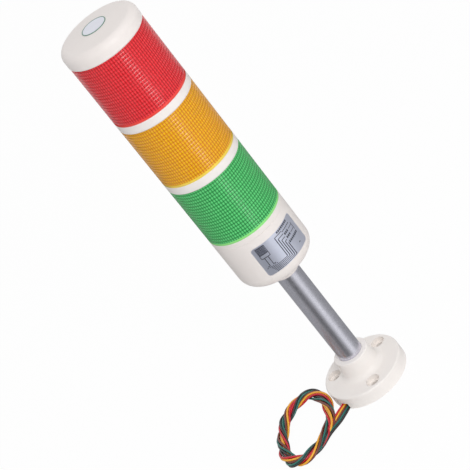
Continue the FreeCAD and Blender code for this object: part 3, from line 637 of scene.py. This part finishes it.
# ------------------------------------------------------------------------------ pole
# A drawn aluminium tube with a satin finish and a fine mottled grain, turned down and threaded
# at both ends, and clamped in the flange and in the housing.

STREAK_STRETCH = 0.02
SPECK_EDGE = 0.5
SPECK_SOFT = 0.4

satin = Finish("satin_aluminium", Metallic=1.0, Anisotropic=0.4)
drawn = satin.place.stretched(1.0, 1.0, STREAK_STRETCH)
streaks = drawn.noise(0.35 * MM, detail=4.0, roughness=0.6)
specks = satin.place.noise(0.8 * MM, detail=3.0).above(SPECK_EDGE, SPECK_SOFT)
grain = 0.45 * streaks + 0.55 * specks
satin.vary(
    Base_Color=grain.blend(srgb(182, 182, 193), srgb(244, 244, 254)),
    Roughness=0.25 + 0.12 * grain,
    Normal=grain.bump(0.02 * MM),
)
dress(satin.material, "pole")


# ------------------------------------------------------------------------------ fastenings
# Zinc-plated steel: a nut and a washer at each end of the pole, three tie rods with theirs
# through the tiers, and the small screws of the board and the housing cover.

zinc = Finish("zinc_plate", Metallic=1.0)
mottle = zinc.place.noise(2.5 * MM, detail=4.0)
zinc.vary(
    Base_Color=mottle.blend(srgb(150, 152, 150), srgb(190, 190, 184)),
    Roughness=0.28 + 0.2 * mottle,
)
dress(zinc.material, "pole_nuts", "pole_washers", "tie_rods", "tie_rod_nuts", "tie_rod_washers")
dress(zinc.material, "board_screws", "cover_screws")


# ------------------------------------------------------------------------------ rating label
# A silver foil label with rounded corners on the housing's side. Its grey print is plain: a
# hatched block on a stem, nested lines and rows of dashes, which stand for a wiring plan.

BRUSH_SQUEEZE = 14.0

foil = Finish("label_foil", Metallic=0.7, Specular_IOR_Level=0.6)
brush = foil.place.stretched(1.0, 1.0, BRUSH_SQUEEZE).noise(1.6 * MM, detail=3.0)
foil.vary(
    Base_Color=brush.blend(srgb(202, 206, 224), srgb(216, 220, 234)),
    Roughness=0.27 + 0.05 * brush,
)
dress(foil.material, "rating_label")

# The print: angles in degrees round the housing from its front, levels and line widths in
# millimetres.
LABEL_RADIUS = 35.15 * MM
INK_HEIGHT = 0.03 * MM
INK_STEP = 2.0
print_bm = bmesh.new()


def print_patch(left, right, low, high):
    """A thin patch of ink between two angles and two levels, bent round the housing."""
    columns = max(1, math.ceil((right - left) / INK_STEP))
    made = bmesh.ops.create_grid(print_bm, x_segments=columns, y_segments=1, size=1.0)
    for vertex in made["verts"]:
        angle = math.radians((left + right) / 2 + vertex.co.x * (right - left) / 2)
        level = (low + high) / 2 + vertex.co.y * (high - low) / 2
        reach = LABEL_RADIUS + INK_HEIGHT
        vertex.co = (reach * math.sin(angle), -reach * math.cos(angle), level * MM)


FINE = 0.5
PLAIN = 0.6
BOLD = 0.8


def level_line(left, right, level, width):
    print_patch(left, right, level - width / 2, level + width / 2)


def upright_line(angle, low, high, width):
    half = math.degrees(width * MM / LABEL_RADIUS) / 2
    print_patch(angle - half, angle + half, low, high)


# The hatched block in its frame, the two lines of its stem, and its sole on dashed ground.
PLAN_MIDDLE = -10.1
FRAME_HALF = 6.7
FRAME_TOP = 188.7
FRAME_MIDDLE = 181.2
FRAME_FOOT = 177.6
HATCHES = 9
HATCH_START = -15.6
HATCH_PITCH = 1.35
HATCH_FOOT = 181.4
HATCH_TOP = 188.4
HATCH_WIDTH = 0.62
STEM_HALF = 2.7
STEM_FOOT = 169.0
SOLE_OUT = 4.4
SOLE_HALF = 2.0
SOLE_LEVEL = 168.7
GROUND_DASHES = 6
GROUND_START = -18.6
GROUND_PITCH = 3.0
GROUND_DASH = 1.8
GROUND_LEVEL = 167.4
for hatch in range(HATCHES):
    upright_line(HATCH_START + HATCH_PITCH * hatch, HATCH_FOOT, HATCH_TOP, HATCH_WIDTH)
for level in (FRAME_TOP, FRAME_MIDDLE, FRAME_FOOT):
    level_line(PLAN_MIDDLE - FRAME_HALF, PLAN_MIDDLE + FRAME_HALF, level, PLAIN)
for side in (-1, 1):
    sole = PLAN_MIDDLE + SOLE_OUT * side
    upright_line(PLAN_MIDDLE + FRAME_HALF * side, FRAME_FOOT, FRAME_TOP, FINE)
    upright_line(PLAN_MIDDLE + STEM_HALF * side, STEM_FOOT, FRAME_FOOT, PLAIN)
    level_line(sole - SOLE_HALF, sole + SOLE_HALF, SOLE_LEVEL, PLAIN)
for dash in range(GROUND_DASHES):
    left = GROUND_START + GROUND_PITCH * dash
    level_line(left, left + GROUND_DASH, GROUND_LEVEL, PLAIN)

# Five nested lines run along the foot, turn up, and turn again to their rows of dashes.
NESTED_LINES = 5
NEST_LEVEL = 166.1
NEST_PITCH = 1.3
NEST_START = -13.0
NEST_TURN = 14.0
NEST_TOP = 186.4
NEST_SPREAD = 12.6
NEST_END = 27.5
for nest in range(NESTED_LINES):
    spread = NEST_SPREAD * nest / (NESTED_LINES - 1)
    level = NEST_LEVEL - NEST_PITCH * nest
    level_line(NEST_START + nest, NEST_TURN + spread, level, FINE)
    upright_line(NEST_TURN + spread, level, NEST_TOP - spread, BOLD)
    level_line(NEST_TURN + spread, NEST_END, NEST_TOP - spread, PLAIN)

# Rows of short dashes stand for the words of the plan: level, start, end and width.
DASH_PITCH = 3.1
DASH_SHARE = 0.72
DASH_ROWS = [
    (188.6, 20.5, 44.0, 1.8),
    (185.2, 28.0, 47.5, 0.8),
    (181.8, 29.0, 38.3, 2.0),
    (178.0, 29.0, 38.3, 2.0),
    (173.4, 28.5, 49.0, 2.1),
]
for level, start, end, width in DASH_ROWS:
    for dash in range(round((end - start) / DASH_PITCH)):
        left = start + dash * DASH_PITCH
        level_line(left, left + DASH_SHARE * DASH_PITCH, level, width)

# A bracket beside the middle rows, and one dash in the lower corner.
BRACKET_START = 39.5
BRACKET_END = 49.0
BRACKET_LEVELS = (181.8, 177.8)
POST_ANGLE = 49.2
POST_FOOT = 175.6
POST_TOP = 183.0
CORNER_START = 40.5
CORNER_END = 43.5
CORNER_LEVEL = 165.0
for level in BRACKET_LEVELS:
    level_line(BRACKET_START, BRACKET_END, level, FINE)
upright_line(POST_ANGLE, POST_FOOT, POST_TOP, FINE)
level_line(CORNER_START, CORNER_END, CORNER_LEVEL, BOLD)

ink = Finish("grey_ink", Roughness=0.55)
ink_clouds = ink.place.noise(3 * MM, detail=3.0)
ink.vary(Base_Color=ink_clouds.blend(srgb(40, 43, 58), srgb(56, 60, 78)))
new_piece("label_print", print_bm, [ink.material])


# ------------------------------------------------------------------------------ lenses
# Each tier is a clear coloured tube with 18 rounded level ribs outside, over a sleeve with 95
# upright flutes. The fine grid of light and shade that they make is painted into the colours:
# painted shade in each rib's valley and along each flute, and a painted glow at the plain foot.
# Radii and heights are in millimetres.

LENS_RADIUS = 35.0
LENS_WALL = 2.5
LENS_HEIGHT = 59.4
LENS_FOOT = 2.6
LENS_HEAD = 0.2
LENS_EDGE = 0.15
LENS_TURNS = 192
LENS_SHINE = 0.46
RIM_DROP = 0.4
RIM_SOFT = 0.5
RIBS = 18
RIB_PITCH = (LENS_HEIGHT - LENS_FOOT - LENS_HEAD) / RIBS
RIB_DEPTH = 0.55
RIB_STEPS = 8
RIB_FULLNESS = 0.7
RIB_SHARPNESS = 3.5
FLUTES = 95
FLUTE_RADIUS = 32.0
FLUTE_WALL = 0.9
FLUTE_GAP = 2.3
FLUTE_DEPTH = 0.55
FLUTE_STEPS = 6
FLUTE_FULLNESS = 0.8
FLUTE_SHARPNESS = 2.2


def lens_shell(base):
    """The ribbed tube: its section, spun once round."""
    inside = LENS_RADIUS - LENS_WALL
    section = [(inside, 0.0), (LENS_RADIUS - LENS_EDGE, 0.0), (LENS_RADIUS, LENS_EDGE)]
    for step in range(RIBS * RIB_STEPS + 1):
        depth = RIB_DEPTH * (1 - abs(math.cos(math.pi * step / RIB_STEPS)) ** RIB_FULLNESS)
        section.append((LENS_RADIUS - depth, LENS_FOOT + RIB_PITCH * step / RIB_STEPS))
    section.append((LENS_RADIUS, LENS_HEIGHT - LENS_HEAD + LENS_EDGE))
    section.append((LENS_RADIUS - LENS_EDGE, LENS_HEIGHT))
    section.append((inside, LENS_HEIGHT))
    return spun(section, base, LENS_TURNS)


def flute_sleeve(base):
    """The fluted inner wall: a ring of shallow arches, drawn up between the two spigots."""
    bm = bmesh.new()
    outer = bmesh.ops.create_circle(bm, segments=FLUTES * FLUTE_STEPS, radius=FLUTE_RADIUS * MM)
    for vertex in outer["verts"]:
        angle = math.atan2(vertex.co.y, vertex.co.x)
        arch = abs(math.sin(angle * FLUTES / 2)) ** FLUTE_FULLNESS
        reach = (FLUTE_RADIUS - FLUTE_DEPTH * (1 - arch)) * MM
        vertex.co = (reach * math.cos(angle), reach * math.sin(angle), 0.0)
    inner_radius = (FLUTE_RADIUS - FLUTE_WALL) * MM
    bmesh.ops.create_circle(bm, segments=FLUTES * FLUTE_STEPS, radius=inner_radius)
    bmesh.ops.bridge_loops(bm, edges=bm.edges)
    bmesh.ops.translate(bm, verts=bm.verts, vec=(0, 0, (base + FLUTE_GAP) * MM))
    raised = bmesh.ops.extrude_face_region(bm, geom=bm.faces[:], use_keep_orig=True)
    moved = [item for item in raised["geom"] if isinstance(item, bmesh.types.BMVert)]
    bmesh.ops.translate(bm, verts=moved, vec=(0, 0, (LENS_HEIGHT - 2 * FLUTE_GAP) * MM))
    return bm


def shell_finish(name, base, colour, painted_shade, painted_glow, valley_shade_share, flute_shade_share):
    """Clear acrylic, with painted shade in each rib's valley and along each flute, and a painted glow
    at the foot.
    """
    finish = Finish(name, IOR=1.49, Specular_IOR_Level=LENS_SHINE)
    level = finish.z / MM - base
    # Painted shade: darker along each rib's valley.
    valley = (1 - (level - LENS_FOOT).wave(RIB_PITCH)) ** RIB_SHARPNESS
    # Painted shade along each flute, in place of the light and shade of the inner flutes.
    angle = finish.y.maths("ARCTAN2", finish.y, finish.x)
    flute = (angle * FLUTES).wave(2 * math.pi) ** FLUTE_SHARPNESS
    # Painted glow: the foot band takes a brighter colour, as if it gathered the light.
    foot = 1 - level.above(LENS_FOOT - RIM_DROP, RIM_SOFT)
    clouds = finish.place.noise(9 * MM)
    # The painted shade of valleys and flutes, times a random tone: it mixes the colour towards the
    # painted shade colour.
    bright = (1 - valley_shade_share * valley) * (1 - flute_shade_share * flute) * (0.9 + 0.2 * clouds)
    return finish.vary(
        Base_Color=foot.blend(bright.blend(painted_shade, colour), painted_glow),
        Roughness=0.19 + 0.06 * clouds,
        Alpha=0.84 + 0.1 * foot,
    )


def sleeve_finish(name, colour, painted_shade):
    """The fluted inside, seen through the shell: bright arches with painted shade in their valleys.
    """
    finish = Finish(name, Specular_IOR_Level=0.4)
    angle = finish.y.maths("ARCTAN2", finish.y, finish.x)
    # Painted shade: darker at each flute's valley.
    arch = 1 - (angle * FLUTES).wave(2 * math.pi)
    clouds = finish.place.noise(6 * MM)
    return finish.vary(
        Base_Color=arch.blend(painted_shade, colour),
        Roughness=0.35 + 0.1 * clouds,
    )


# Each tier's colour, its painted shade colour and its painted glow at the foot, and how dark the
# painted shade in its ribs' valleys and along its flutes is.
TIERS = [
    ("green", srgb(104, 228, 134), srgb(18, 134, 58), srgb(150, 240, 135), 0.85, 1.0),
    ("amber", srgb(255, 198, 18), srgb(220, 114, 0), srgb(254, 222, 84), 0.5, 0.95),
    ("red", srgb(255, 56, 66), srgb(188, 4, 14), srgb(250, 74, 64), 0.4, 1.0),
]
for name, colour, painted_shade, painted_glow, *shares in TIERS:
    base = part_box(name + "_lens")[0][2] / MM
    acrylic = name + "_acrylic"
    shell_material = shell_finish(acrylic, base, colour, painted_shade, painted_glow, *shares)
    shell = new_piece(name + "_ribs", lens_shell(base), [shell_material])
    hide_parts(name + "_lens")
    sleeve_material = sleeve_finish(name + "_flutes", colour, painted_shade)
    new_piece(name + "_sleeve", flute_sleeve(base), [sleeve_material])


# ------------------------------------------------------------------------------ lens seals
# Three thin rings of pale silicone rubber, one on the head of each lens, which keep water out
# when the tie rods pull the tiers together.

seal = Finish("seal_silicone", Base_Color=srgb(222, 216, 210))
seal_grain = seal.place.noise(0.6 * MM)
seal.vary(Roughness=0.6 + 0.2 * seal_grain)
dress(seal.material, "lens_seals")


# ------------------------------------------------------------------------------ cap badge
# A pale lilac disc inside a thin green ring, pressed into the middle of the cap. Both are
# plain, of smooth plastic.

badge = Finish("lilac_badge", Coat_Weight=0.3, Coat_Roughness=0.1)
badge_clouds = badge.place.noise(5 * MM, detail=3.0)
badge.vary(
    Base_Color=badge_clouds.blend(srgb(222, 221, 234), srgb(226, 231, 238)),
    Roughness=0.3 + 0.1 * badge_clouds,
)
dress(badge.material, "cap_disc")
trim = Finish("green_trim", Roughness=0.35)
trim_clouds = trim.place.noise(2 * MM, detail=3.0)
trim.vary(Base_Color=trim_clouds.blend(srgb(88, 128, 112), srgb(112, 148, 132)))
dress(trim.material, "cap_ring")


# ------------------------------------------------------------------------------ electronics
# Boards of green laminate with white LEDs in each tier, joined by a black sleeve of wires, and
# the driver parts on the board in the housing. The lenses and the housing close it all in.

WEAVE_PITCH = 0.5 * MM
TRACK_EDGE = 0.55
TRACK_SOFT = 0.04

laminate = Finish("board_laminate", Specular_IOR_Level=0.5)
weave = laminate.x.wave(WEAVE_PITCH) * laminate.y.wave(WEAVE_PITCH)
tracks = laminate.place.noise(3 * MM, detail=1.0).above(TRACK_EDGE, TRACK_SOFT)
woven = weave.blend(srgb(18, 92, 52), srgb(26, 108, 62))
laminate.vary(Base_Color=tracks.blend(woven, srgb(40, 134, 80)), Roughness=0.35 + 0.1 * tracks)
dress(laminate.material, "control_board", "green_led_board", "amber_led_board", "red_led_board")

diode = Finish("led_package", Coat_Weight=0.4)
phosphor = diode.place.noise(0.8 * MM)
diode.vary(Base_Color=phosphor.blend(srgb(238, 238, 226), srgb(244, 236, 170)))
dress(diode.material, "green_leds", "amber_leds", "red_leds")

chip_black = Finish("chip_black")
mould = chip_black.place.noise(0.3 * MM)
chip_black.vary(Base_Color=mould.blend(srgb(26, 26, 28), srgb(40, 40, 42)))
dress(chip_black.material, "driver_chips")
dress(satin.material, "power_capacitor")
terminal = Finish("terminal_green", Roughness=0.45)
terminal_clouds = terminal.place.noise(1.5 * MM)
terminal.vary(Base_Color=terminal_clouds.blend(srgb(40, 128, 70), srgb(52, 142, 82)))
dress(terminal.material, "terminal_block")
dress(lead_materials[-1], "tier_harness")
